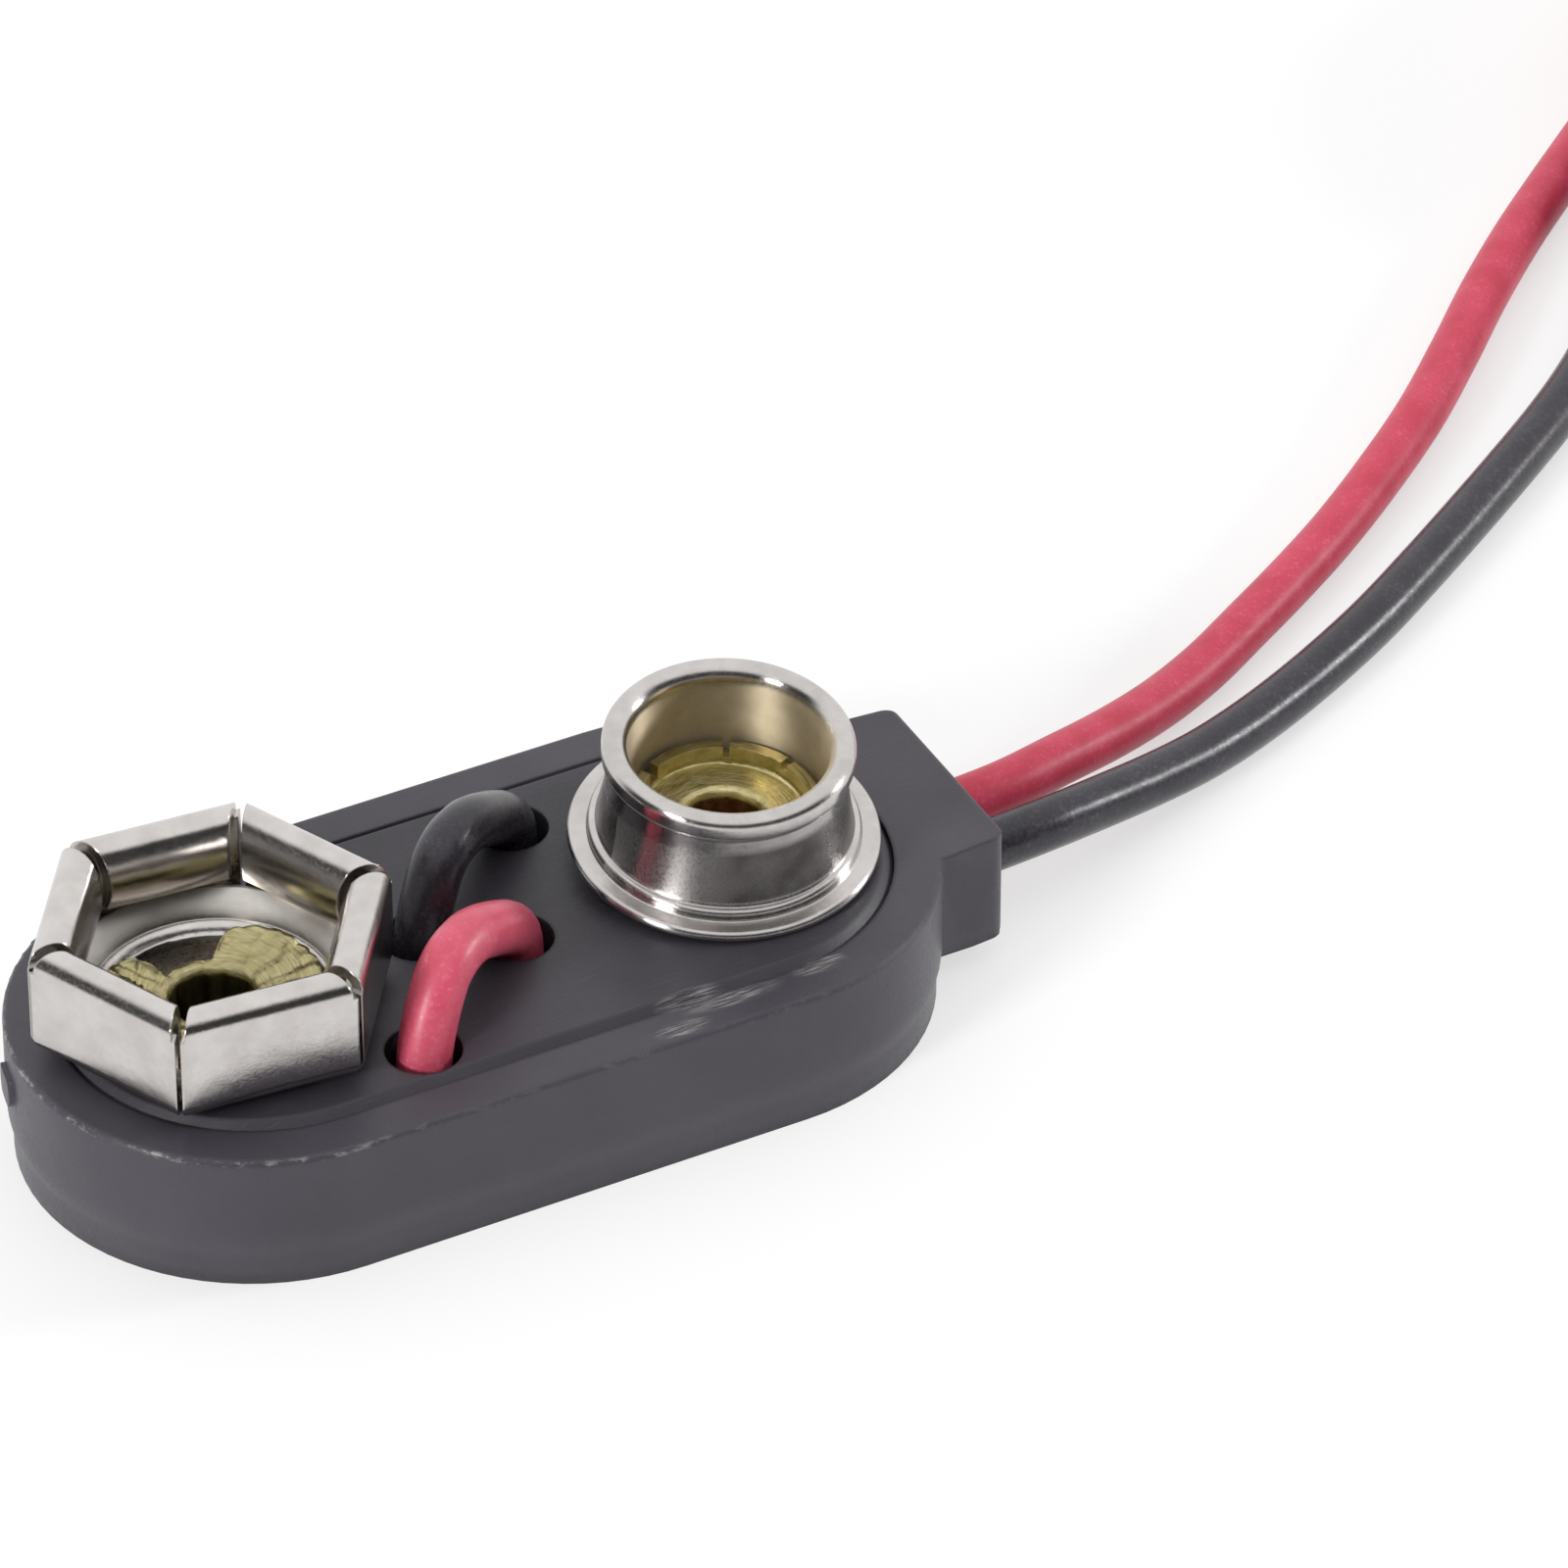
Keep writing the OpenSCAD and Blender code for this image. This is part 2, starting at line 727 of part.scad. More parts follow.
// Heights of a hoop's middle line over the plate, from its right hole to its left one
hoop_rise = [[0.02, 0.08], [0.1, 0.36], [0.26, 0.65], [0.46, 0.93], [0.64, 1], [0.78, 0.87], [0.89, 0.52],
             [0.975, 0.06]];
function hoop_points(right) =
    [for (s = hoop_rise) lift(right - s[0] * [hoop_dx, hoop_dy], plate_top + s[1] * hoop_h)];
function backwards(p) = [for (i = [len(p) - 1 : -1 : 0]) p[i]];

// A lead's way up or down through a hole, and its bend to the run under the plate
function riser(hole, way) =
    [lift(hole, plate_z + 0.5 * plate_t), lift(hole + 0.04 * way, plate_z - 0.1),
     lift(hole + 0.32 * way, run_z + 0.42), lift(hole + 0.85 * way, run_z + 0.08)];
function tail(hole, way) =
    [lift(hole, plate_z + 0.5 * plate_t), lift(hole - 0.03 * way, plate_z),
     lift(hole - 0.35 * way, tail_z + 0.12), lift(hole - (tail_l - 0.4) * way, tail_z),
     lift(hole - (tail_l - 0.2) * way, tail_z), lift(hole - tail_l * way, tail_z)];
function start(y) = let (x_in = x_block + cavity_r)
    [[body_l / 2, y, exit_h], [(body_l / 2 + x_in) / 2, y, exit_h], [x_in + 0.1, y, exit_h],
     [x_in - 0.5, y, exit_h]];

// The red lead runs under the stud's rivet, the black one round the foot of the red
function red_run() = let (in = red_right + [0.85, 0.12])
    [[stud_x + 1.4, red_exit - 0.15, run_z + 0.1], [stud_x + 0.2, 0.45, run_z], [stud_x - 1.6, 0.1, run_z],
     lift(in + [1.6, 0.15], run_z)];
function black_run() =
    [[stud_x + 1.4, black_exit - 0.15, run_z + 0.1], [stud_x + 0.2, -1.3, run_z], [stud_x - 2, -1.75, run_z],
     lift(red_right + [0.9, -1.5], run_z), lift(red_right + [-0.3, -1.6], run_z),
     lift(black_left + [0.35, -1.55], run_z)];

module red_hoop() {
    color(red_pvc)
        tube(curve(concat(start(red_exit), red_run(), backwards(riser(red_right, unit([0.99, 0.14]))),
                          hoop_points(red_right), tail(red_left, red_way)), 2), lead_d, 12);
}

module black_hoop() {
    color(black_pvc)
        tube(curve(concat(start(black_exit), black_run(), backwards(riser(black_left, [0.1, -0.99])),
                          backwards(hoop_points(black_right)), tail(black_right, black_way)), 2),
             lead_d, 12);
}

module red_lead() {
    color(red_pvc)
        tube(red_route, lead_d, 8);
}

module black_lead() {
    color(black_pvc)
        tube(black_route, lead_d, 8);
}

// The coil as one solid, open below where the leads come in, and above where their turns stop
module lead_coil() {
    color(black_pvc)
        translate(coil_at)
            difference() {
                rotate_extrude()
                    translate([coil_in, 0])
                        square([2 * lead_d, coil_layers * lead_d]);
                unwound(coil_in - lead_d, coil_mid, black_top_turn);
                unwound(coil_mid, coil_out + lead_d, red_top_turn);
                rotate(entry_turn)
                    translate([-entry_l, 0, -eps])
                        cube([entry_l, coil_out + lead_d, lead_d + 2 * eps]);
                rotate(tie_angle)
                    translate([0, 0, -eps])
                        tie_bar(tie_in - tie_t, coil_out + lead_d, tie_t + tie_gap + eps, tie_gap);
            }
}

// The part of the top layer that a lane leaves empty after its last turn
module unwound(from, to, turn) {
    rotate(90 + entry_turn)
        translate([0, 0, (coil_layers - 1) * lead_d])
            rotate_extrude(angle = 360 - turn)
                translate([from, 0])
                    square([to - from, 2 * lead_d]);
}

// A flat bar across the coil's ring, between two radii
module tie_bar(from, to, h, gap) {
    translate([from, -tie_w / 2 - gap, 0])
        cube([to - from, tie_w + 2 * gap, h]);
}

// Wire tie: a flat strip round the coil's section
module coil_tie() {
    out = coil_out + tie_gap;
    top = coil_layers * lead_d + tie_gap;
    color(black_plastic)
        translate(coil_at)
            rotate(tie_angle)
                difference() {
                    tie_bar(tie_in - tie_t, out + tie_t, top + tie_t, 0);
                    translate([tie_in, -tie_w, tie_t])
                        cube([out - tie_in, 2 * tie_w, top - tie_t]);
                }
}

// Tinned end of a lead, on top of the coil where its last turn stops
module tip(lane, turn) {
    sweep = tip_l / lane * 180 / PI;
    color(solder)
        translate(coil_at + [0, 0, (coil_layers - 1) * lead_d + tip_d / 2])
            rotate(90 + entry_turn - turn - sweep)
                rotate_extrude(angle = sweep)
                    translate([lane, 0])
                        circle(d = tip_d);
}

module red_tip() {
    tip(outer_lane, red_top_turn);
}

module black_tip() {
    tip(inner_lane, black_top_turn);
}

housing();
terminal_plate();
socket_contact();
stud_contact();
socket_eyelet();
stud_eyelet();
socket_solder();
stud_solder();
red_core();
black_core();
red_hoop();
black_hoop();
red_lead();
black_lead();
lead_coil();
coil_tie();
red_tip();
black_tip();
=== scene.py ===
"""Looks of a battery snap connector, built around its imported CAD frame. Sizes are in millimetres."""
import math

import bpy
from mathutils import Matrix, Vector, noise


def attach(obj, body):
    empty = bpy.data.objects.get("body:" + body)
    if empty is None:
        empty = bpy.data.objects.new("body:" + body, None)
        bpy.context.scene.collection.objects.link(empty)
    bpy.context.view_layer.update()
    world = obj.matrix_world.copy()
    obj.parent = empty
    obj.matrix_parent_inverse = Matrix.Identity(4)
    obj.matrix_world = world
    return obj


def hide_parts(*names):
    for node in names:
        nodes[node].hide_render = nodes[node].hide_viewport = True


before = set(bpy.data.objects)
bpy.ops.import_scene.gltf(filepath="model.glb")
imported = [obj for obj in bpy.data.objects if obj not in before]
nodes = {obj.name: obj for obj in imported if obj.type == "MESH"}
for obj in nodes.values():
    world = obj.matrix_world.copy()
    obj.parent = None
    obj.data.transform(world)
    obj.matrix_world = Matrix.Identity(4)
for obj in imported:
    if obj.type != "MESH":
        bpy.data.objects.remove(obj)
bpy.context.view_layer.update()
scene = bpy.context.scene
scene.view_settings.view_transform = "Standard"

MM = 0.001
BODY_L = 23.3
BODY_R = 5.6
BODY_H = 3.5
BLOCK_OUT = 1.15
RIM_W = 1.1
LEDGE_W = 0.4
ROUND_X = -BODY_L / 2 + BODY_R
BLOCK_X = BODY_L / 2 - BLOCK_OUT - BODY_R
PLATE_TOP = 3.63
PLATE_T = 1.0
PLATE_LOW = PLATE_TOP - PLATE_T
FLOOR_T = 0.7
SOCKET_X = -7.05
STUD_X = 5.65
STUD_Y = -0.15
MID_X = (SOCKET_X + STUD_X) / 2
SHEET_T = 0.26
LEAD_D = 1.25


# Camera

VIEW_AZIMUTH = math.radians(27.865)
VIEW_ELEVATION = math.radians(37.112)
VIEW_TARGET = Vector((7.975, 1.5, PLATE_TOP))
VIEW_DISTANCE = 242.1
SENSOR = 36.0
LENS = 244.8
CLIP = (0.01, 10.0)


def make_camera():
    data = bpy.data.cameras.new("camera")
    data.sensor_width = SENSOR
    data.lens = LENS
    data.clip_start, data.clip_end = CLIP
    back = Vector((
        -math.sin(VIEW_AZIMUTH) * math.cos(VIEW_ELEVATION),
        -math.cos(VIEW_AZIMUTH) * math.cos(VIEW_ELEVATION),
        math.sin(VIEW_ELEVATION),
    ))
    camera = bpy.data.objects.new("camera", data)
    scene.collection.objects.link(camera)
    camera.location = (VIEW_TARGET + back * VIEW_DISTANCE) * MM
    camera.rotation_mode = "QUATERNION"
    camera.rotation_quaternion = (-back).to_track_quat("-Z", "Y")
    scene.camera = camera


# Materials

BEVEL_SAMPLES = 4


class Look:
    """A material around one principled shader, with short calls to add nodes."""

    def __init__(self, name, **sockets):
        self.material = bpy.data.materials.new(name)
        self.material.use_nodes = True
        self.tree = self.material.node_tree
        self.shader = self.tree.nodes["Principled BSDF"]
        for socket, value in sockets.items():
            self.shader.inputs[socket.replace("_", " ")].default_value = value
        self.place = self.tree.nodes.new("ShaderNodeTexCoord").outputs["Object"]

    def link(self, source, target):
        self.tree.links.new(source, target)

    def node(self, kind, **inputs):
        made = self.tree.nodes.new("ShaderNode" + kind)
        for name, value in inputs.items():
            socket = made.inputs[name.replace("_", " ")]
            if isinstance(value, bpy.types.NodeSocket):
                self.link(value, socket)
            else:
                socket.default_value = value
        return made

    def math(self, operation, *values):
        made = self.tree.nodes.new("ShaderNodeMath")
        made.operation = operation
        for socket, value in zip(made.inputs, values):
            if isinstance(value, bpy.types.NodeSocket):
                self.link(value, socket)
            else:
                socket.default_value = value
        return made.outputs["Value"]

    def product(self, share, *others):
        for other in others:
            share = self.math("MULTIPLY", share, other)
        return share

    def axes(self):
        """The three coordinates of the shaded point, in millimetres."""
        parts = self.node("SeparateXYZ", Vector=self.place).outputs
        return [self.math("DIVIDE", part, MM) for part in parts]

    def noise(self, size, detail=2.0, stretch=(1, 1, 1), roughness=0.5, at=(0, 0, 0)):
        """Noise between 0 and 1 with features about as long as size, stretched along the axes."""
        mapping = self.node("Mapping", Vector=self.place)
        mapping.inputs["Scale"].default_value = [1 / (size * MM * s) for s in stretch]
        mapping.inputs["Location"].default_value = at
        made = self.node("TexNoise", Vector=mapping.outputs["Vector"], Scale=1.0, Detail=detail)
        made.inputs["Roughness"].default_value = roughness
        return made.outputs["Fac"]

    def span(self, source, low, high, to_low=0.0, to_high=1.0, smooth=False):
        made = self.node("MapRange", Value=source)
        if smooth:
            made.interpolation_type = "SMOOTHSTEP"
        for name, value in zip(("From Min", "From Max", "To Min", "To Max"), (low, high, to_low, to_high)):
            made.inputs[name].default_value = value
        return made.outputs["Result"]

    def spot(self, centre, reach):
        """1 at a place, falling to 0 at the given reach along each axis."""
        total = None
        for part, middle, size in zip(self.axes(), centre, reach):
            away = self.math("POWER", self.math("DIVIDE", self.math("SUBTRACT", part, middle), size), 2)
            total = away if total is None else self.math("ADD", total, away)
        return self.span(total, 0, 1, 1, 0, smooth=True)

    def mix(self, share, first, second):
        made = self.tree.nodes.new("ShaderNodeMix")
        made.data_type = "RGBA"
        self.link(share, made.inputs["Factor"])
        for socket, value in (("A", first), ("B", second)):
            target = next(i for i in made.inputs if i.name == socket and i.type == "RGBA")
            if isinstance(value, bpy.types.NodeSocket):
                self.link(value, target)
            else:
                target.default_value = (*value, 1)
        return next(o for o in made.outputs if o.type == "RGBA")

    def colour(self, source):
        self.link(source, self.shader.inputs["Base Color"])

    def rough(self, source):
        self.link(source, self.shader.inputs["Roughness"])

    def bump(self, *layers, edge=0.0):
        """Stacks bump layers, each a height source and its depth, over edges rounded by some radius."""
        normal = None
        if edge:
            bevel = self.node("Bevel", Radius=edge if isinstance(edge, bpy.types.NodeSocket) else edge * MM)
            bevel.samples = BEVEL_SAMPLES
            normal = bevel.outputs["Normal"]
        for source, depth in layers:
            made = self.node("Bump", Height=source, Distance=depth * MM)
            made.inputs["Strength"].default_value = 1.0
            if normal:
                self.link(normal, made.inputs["Normal"])
            normal = made.outputs["Normal"]
        self.link(normal, self.shader.inputs["Normal"])


def plan_radius(look):
    """Distance of the shaded point from the line between the middles of the body's round ends."""
    x, y, _ = look.axes()
    beyond = look.math("MAXIMUM", look.math("SUBTRACT", x, BLOCK_X), 0)
    before = look.math("MINIMUM", look.math("SUBTRACT", x, ROUND_X), 0)
    along = look.math("ADD", beyond, before)
    squares = look.math("ADD", look.math("POWER", along, 2), look.math("POWER", y, 2))
    return look.math("SQRT", squares)


# Colours of the plastics and metals, dark and light
HOUSING_BLACK = (0.048, 0.043, 0.056), (0.058, 0.052, 0.067)
PLATE_BLACK = (0.037, 0.033, 0.043), (0.046, 0.041, 0.053)
TIE_BLACK = (0.03, 0.03, 0.033), (0.04, 0.04, 0.044)
TIN = (0.55, 0.56, 0.57), (0.66, 0.67, 0.68)
COPPER = (0.56, 0.26, 0.13), (0.68, 0.36, 0.2)
SOCKET_NICKEL = (0.57, 0.54, 0.52), (0.65, 0.62, 0.6)
STUD_NICKEL = (0.53, 0.505, 0.49), (0.61, 0.58, 0.565)
BOWL_NICKEL = (0.64, 0.61, 0.57), (0.74, 0.71, 0.67)
SOCKET_BRASS = (0.3, 0.25, 0.11), (0.62, 0.56, 0.33)
STUD_BRASS = (0.5, 0.42, 0.17), (0.86, 0.77, 0.45)
DISH_TARNISH = (0.34, 0.29, 0.25), (0.55, 0.48, 0.43)
WELL_OLIVE = (0.56, 0.48, 0.34), (0.68, 0.59, 0.43)

# Colours of wear and stains, and of painted shade and glints
HAIR_COLOUR = (0.2, 0.195, 0.21)
# Pale colour of the scuffs, partly painted glints, and of the torn flash
WEAR_AND_GLINT_COLOUR = (0.6, 0.58, 0.55)
BRASS_TARNISH = (0.42, 0.37, 0.17)
WORN_TONGUE = (0.5, 0.43, 0.26)
# Painted shade at the foot of the socket's outer walls
FOOT_SHADE_COLOUR = (0.2, 0.17, 0.15)
# Part stain, part painted shade on the stud's barrel
BARREL_STAIN_AND_SHADE = (0.13, 0.12, 0.115)

# Colours of the insulation: dark, light and the pale bloom
RED_COLOURS = (0.56, 0.046, 0.086), (0.65, 0.066, 0.124), (0.74, 0.23, 0.31)
# Painted light: a paler copy of the red, for the hoops
RED_HOOP_LIT_COLOURS = (0.61, 0.072, 0.124), (0.71, 0.104, 0.177), (0.82, 0.36, 0.44)
BLACK_COLOURS = (0.028, 0.025, 0.033), (0.038, 0.034, 0.044), (0.17, 0.165, 0.18)

# Scuffs on the near edge of the plate and rim, painted pale as glints: middle, and reach along each axis
SCUFF_GLINT_SPOTS = [
    ((2.5, -4.4, 3.6), (1.0, 0.32, 0.6)),
    ((1.9, -5.2, 3.5), (0.8, 0.32, 0.6)),
    ((3.4, -4.75, 3.5), (1.4, 0.3, 0.6)),
    ((5.65, -4.6, 3.6), (0.85, 0.32, 0.6)),
]

# Torn flash on the rim's outer edge: the radii, the height and the places along the body where it fades
FLASH_INNER = BODY_R - 0.1, BODY_R - 0.03
FLASH_OUTER = BODY_R + 0.02, BODY_R + 0.06
FLASH_HEIGHT = BODY_H - 0.16, BODY_H - 0.08
FLASH_BLOCK_END = BLOCK_X + 1.5, BLOCK_X + 2.5
FLASH_ROUND_END = ROUND_X + 2, ROUND_X - 2

# The housing's edges look round at the foot of its wall and crisp higher up
EDGE_HEIGHTS = 1.4, 2.6
FOOT_EDGE = 0.9 * MM
RIM_EDGE = 0.14 * MM

# Heights above the plate, and radii of the dish, between which the terminals' wear, stains and painted shade
# fade
TONGUE_WEAR_LOW = 0.7, 0.85
TONGUE_WEAR_HIGH = 1.05, 1.75
WALL_FOOT = 0.05, 0.95
DISH_EDGE = 2.3, 2.1
DISH_ROOM = 0.5, 0.3
BARREL_LOW = 0.55, 0.75
BARREL_HIGH = 2.15, 1.95
WELL_TOP = 3.2, 3.0
# Directions about the stud's axis between which the barrel's stain and painted shade start
STAIN_AND_SHADE_START = math.radians(-135), math.radians(-112)
# Breaks along the scratches that run round an axis, per radian
RING_BREAKS = 2.5


def scuffs_and_glints(look):
    """How far the near edge is rubbed, in streaks along it that are painted pale as glints."""
    wear_and_glint = None
    for centre, reach in SCUFF_GLINT_SPOTS:
        spot = look.spot(centre, reach)
        wear_and_glint = spot if wear_and_glint is None else look.math("MAXIMUM", wear_and_glint, spot)
    streaks = look.span(look.noise(0.022, detail=3, stretch=(32, 1, 1), roughness=0.6), 0.48, 0.74)
    return look.product(wear_and_glint, streaks)


def flash(look):
    """How far torn flash covers the rim's outer edge, most at the socket's end."""
    x, _, z = look.axes()
    radius = plan_radius(look)
    torn = look.noise(0.16, detail=5, stretch=(2.5, 2.5, 1), roughness=0.7)
    return look.product(
        look.span(radius, *FLASH_INNER), look.span(radius, *FLASH_OUTER, 1, 0),
        look.span(z, *FLASH_HEIGHT), look.span(x, *FLASH_BLOCK_END, 1, 0),
        look.span(torn, 0.5, 0.62), look.span(x, *FLASH_ROUND_END, 0.06, 0.4),
    )


def plastic_look(name, colours, rough, scratched):
    """Satin moulded plastic with scuffs painted pale as glints, flash and more or fewer hair scratches."""
    look = Look(name, Specular_IOR_Level=0.45)
    cloud = look.noise(2.2, detail=4)
    grain = look.noise(0.08, detail=4, roughness=0.65)
    hairs = look.noise(0.035, detail=3, stretch=(45, 1, 8), at=(3, 1, 7))
    hairs = look.span(hairs, 0.62, 0.72, 0, scratched)
    wear_and_glint = look.math("MAXIMUM", scuffs_and_glints(look), flash(look))
    colour = look.mix(look.span(cloud, 0.35, 0.7), *colours)
    colour = look.mix(look.product(hairs, 0.12), colour, HAIR_COLOUR)
    # Painted glints: the scuffs are painted pale, and the flash takes the same pale colour
    look.colour(look.mix(wear_and_glint, colour, WEAR_AND_GLINT_COLOUR))
    look.rough(look.span(grain, 0.3, 0.7, rough - 0.05, rough + 0.08))
    edge = look.span(look.axes()[2], *EDGE_HEIGHTS, FOOT_EDGE, RIM_EDGE)
    look.bump((grain, 0.007), (look.noise(1.4, detail=2), 0.01), (hairs, 0.002), (wear_and_glint, 0.006), edge=edge)
    return look.material


def speckles(look):
    """Fine marks of pressed and plated sheet."""
    return look.noise(0.07, detail=5, roughness=0.7)


def metal_look(name, colours, rough):
    look = Look(name, Metallic=1.0)
    look.colour(look.mix(look.span(look.noise(0.8, detail=5), 0.35, 0.65), *colours))
    speckle = speckles(look)
    look.rough(look.span(speckle, 0.35, 0.75, rough - 0.04, rough + 0.14))
    look.bump((speckle, 0.0012), (look.noise(0.9, detail=2), 0.008), edge=0.05)
    return look.material


def round_about(look, x0, y0):
    """Radius and angle of the shaded point about an upright axis, and how far its surface faces outwards."""
    x, y, _ = look.axes()
    across = look.math("SUBTRACT", x, x0)
    along = look.math("SUBTRACT", y, y0)
    squares = look.math("ADD", look.math("POWER", across, 2), look.math("POWER", along, 2))
    radius = look.math("SQRT", squares)
    normal = look.node("SeparateXYZ", Vector=look.node("NewGeometry").outputs["Normal"]).outputs
    facing = look.math("ADD", look.product(normal["X"], across), look.product(normal["Y"], along))
    return radius, look.math("ARCTAN2", along, across), look.math("DIVIDE", facing, radius)


def rings(look, radius, angle, pitch):
    """Fine scratches that run round an axis."""
    steps = look.math("DIVIDE", radius, pitch)
    spread = look.node("CombineXYZ", X=steps, Y=look.product(angle, RING_BREAKS))
    made = look.node("TexNoise", Vector=spread.outputs["Vector"], Scale=1.0, Detail=4.0, Roughness=0.65)
    return made.outputs["Fac"]


def brass_look(name, x0, colours):
    """Dull brass of an eyelet, drawn and rolled round its axis."""
    look = Look(name, Metallic=1.0)
    radius, angle, _ = round_about(look, x0, 0)
    scratches = rings(look, radius, angle, 0.07)
    tarnish = look.span(look.noise(0.5, detail=5), 0.45, 0.75, 0, 0.6)
    colour = look.mix(look.span(scratches, 0.3, 0.7), *colours)
    look.colour(look.mix(tarnish, colour, BRASS_TARNISH))
    look.rough(look.span(scratches, 0.3, 0.75, 0.24, 0.42))
    look.bump((scratches, 0.02), (look.noise(0.35, detail=3), 0.025), edge=0.03)
    return look.material


def socket_look():
    """Nickel of the socket: brassy where the tongues wear, painted shade at the walls' feet, scratched in the
    dish.
    """
    look = Look("socket_nickel", Metallic=1.0)
    cloud = look.noise(0.8, detail=5)
    speckle = speckles(look)
    radius, angle, facing = round_about(look, SOCKET_X, 0)
    scratches = rings(look, radius, angle, 0.05)
    height = look.math("SUBTRACT", look.axes()[2], PLATE_TOP)
    brassy = look.product(
        look.span(facing, -0.2, -0.6), look.span(height, *TONGUE_WEAR_HIGH, 0.7, 0),
        look.span(height, *TONGUE_WEAR_LOW),
    )
    # Painted shade: darkens the outward-facing walls just above the plate
    painted_foot_shade = look.product(
        look.span(facing, 0.3, 0.7), look.span(height, *WALL_FOOT, 0.8, 0, smooth=True),
        look.span(cloud, 0.3, 0.6, 0.5, 1),
    )
    dish = look.product(look.span(radius, *DISH_EDGE), look.span(height, *DISH_ROOM))
    colour = look.mix(look.span(cloud, 0.35, 0.65), *SOCKET_NICKEL)
    colour = look.mix(brassy, colour, WORN_TONGUE)
    colour = look.mix(painted_foot_shade, colour, FOOT_SHADE_COLOUR)
    tarnish = look.mix(look.span(scratches, 0.35, 0.7), *DISH_TARNISH)
    look.colour(look.mix(dish, colour, tarnish))
    dull = look.product(look.math("MAXIMUM", dish, brassy), 0.12)
    look.rough(look.math("ADD", look.span(speckle, 0.35, 0.75, 0.12, 0.28), dull))
    fine = look.product(scratches, dish)
    look.bump((speckle, 0.003), (look.noise(0.9, detail=2), 0.012), (fine, 0.004), edge=0.06)
    return look.material


def stud_look():
    """Nickel of the drawn stud: scratched round its axis, part stain, part painted shade on the barrel, dull
    inside.
    """
    look = Look("stud_nickel", Metallic=1.0, Anisotropic=0.85, Anisotropic_Rotation=0.25)
    tangent = look.tree.nodes.new("ShaderNodeTangent")
    tangent.direction_type = "RADIAL"
    tangent.axis = "Z"
    look.link(tangent.outputs["Tangent"], look.shader.inputs["Tangent"])
    cloud = look.noise(0.6, detail=5)
    radius, angle, facing = round_about(look, STUD_X, STUD_Y)
    height = look.math("SUBTRACT", look.axes()[2], PLATE_TOP)
    barrel = look.product(
        look.span(facing, 0.5, 0.8), look.span(height, *BARREL_LOW), look.span(height, *BARREL_HIGH))
    # Part stain, part painted shade: the barrel is darkened all round except a band on its left
    stain_and_shade = look.product(
        barrel, look.span(cloud, 0.35, 0.65, 0.8, 1), look.span(angle, *STAIN_AND_SHADE_START, 0.15, 1))
    inside = look.product(look.span(facing, -0.25, -0.6), look.span(height, *WELL_TOP))
    colour = look.mix(look.span(cloud, 0.35, 0.65), *STUD_NICKEL)
    colour = look.mix(stain_and_shade, colour, BARREL_STAIN_AND_SHADE)
    olive = look.mix(look.span(cloud, 0.3, 0.7), *WELL_OLIVE)
    look.colour(look.mix(inside, colour, olive))
    rough = look.span(speckles(look), 0.35, 0.75, 0.14, 0.28)
    rough = look.math("ADD", rough, look.product(barrel, 0.1))
    look.rough(look.math("ADD", rough, look.product(inside, 0.4)))
    look.bump((rings(look, radius, angle, 0.06), 0.0015), (look.noise(0.9, detail=2), 0.008), edge=0.05)
    return look.material


def insulation_look(name, colours, rough, shine):
    """Soft insulation with a pale bloom in specks."""
    dark, light, pale = colours
    look = Look(name, Specular_IOR_Level=shine)
    cloud = look.noise(0.9, detail=4)
    speckle = look.noise(0.11, detail=6, roughness=0.65)
    colour = look.mix(look.span(cloud, 0.35, 0.7), dark, light)
    bloom = look.product(look.span(speckle, 0.52, 0.68), look.span(cloud, 0.35, 0.65, 0.1, 0.4))
    look.colour(look.mix(bloom, colour, pale))
    look.rough(look.span(speckle, 0.3, 0.7, rough - 0.06, rough + 0.1))
    look.bump((speckle, 0.004), (look.noise(0.7, detail=2), 0.012))
    return look.material


def dress_nodes():
    tin = metal_look("tin_solder", TIN, 0.3)
    copper = metal_look("copper_strands", COPPER, 0.3)
    finishes = {
        "housing": plastic_look("housing_plastic", HOUSING_BLACK, 0.42, 0.15),
        "terminal_plate": plastic_look("plate_plastic", PLATE_BLACK, 0.43, 1),
        "coil_tie": plastic_look("tie_plastic", TIE_BLACK, 0.45, 0),
        "socket_contact": socket_look(),
        "stud_eyelet": brass_look("stud_brass", STUD_X, STUD_BRASS),
        "socket_solder": tin, "stud_solder": tin, "red_tip": tin, "black_tip": tin,
        "red_core": copper, "black_core": copper,
    }
    for name, finish in finishes.items():
        mesh = nodes[name].data
        mesh.materials.clear()
        mesh.materials.append(finish)


RED = insulation_look("red_insulation", RED_COLOURS, 0.4, 0.25)
# A paler copy of the red insulation for the hoops over the plate, which is painted light; it is also shinier
RED_HOOP_LIT = insulation_look("red_hoop_lit", RED_HOOP_LIT_COLOURS, 0.37, 0.5)
BLACK = insulation_look("black_insulation", BLACK_COLOURS, 0.27, 0.4)


# Swept pieces

def smooth_line(points, steps):
    """A curve through the points, with some steps from each point to the next."""
    last = len(points) - 1
    line = []
    for i in range(last):
        a, b, c, d = (points[min(max(j, 0), last)] for j in (i - 1, i, i + 1, i + 2))
        for k in range(steps):
            u = k / steps
            line.append((
                2 * b + (c - a) * u + (2 * a - 5 * b + 4 * c - d) * u * u
                + (3 * b - a - 3 * c + d) * u ** 3
            ) / 2)
    return line + [points[last]]


def line_length(line):
    return sum((q - p).length for p, q in zip(line, line[1:]))


TUBE_STEPS = 8


